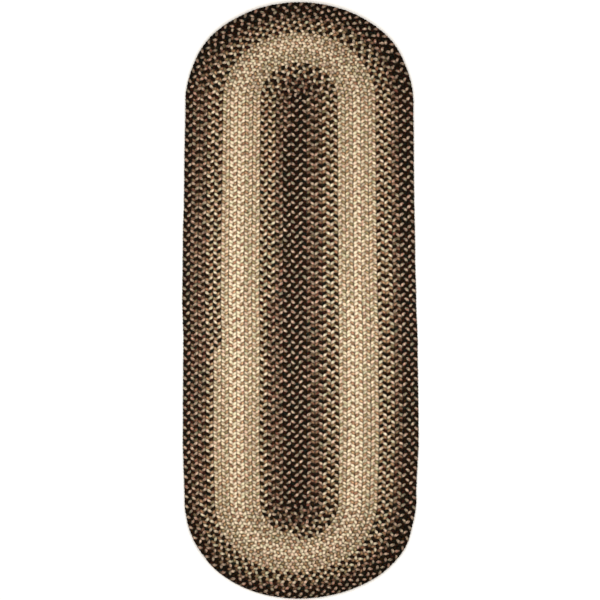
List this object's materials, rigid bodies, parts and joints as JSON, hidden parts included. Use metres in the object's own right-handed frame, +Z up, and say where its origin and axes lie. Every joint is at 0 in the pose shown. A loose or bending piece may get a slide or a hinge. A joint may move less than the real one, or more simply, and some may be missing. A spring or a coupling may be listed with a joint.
{
  "type": "braided rug",
  "caption": "Long oval rug of flat braided yarn, wound from the middle outwards, with a dark core, a light band and a dark border. It lies flat on a floor.",
  "frame": {"origin": "under the middle of the rug, on its flat underside", "axes": "+Z up from the floor, +Y along the rug's length, +X across it"},
  "size_m": [0.6174, 1.5668, 0.011],
  "materials": {
    "braided_yarn": "matt heathered yarn, dark and tan strands with a cream band"
  },
  "bodies": {
    "root": {"braided_rug": "braided_yarn"}
  },
  "joints": []
}
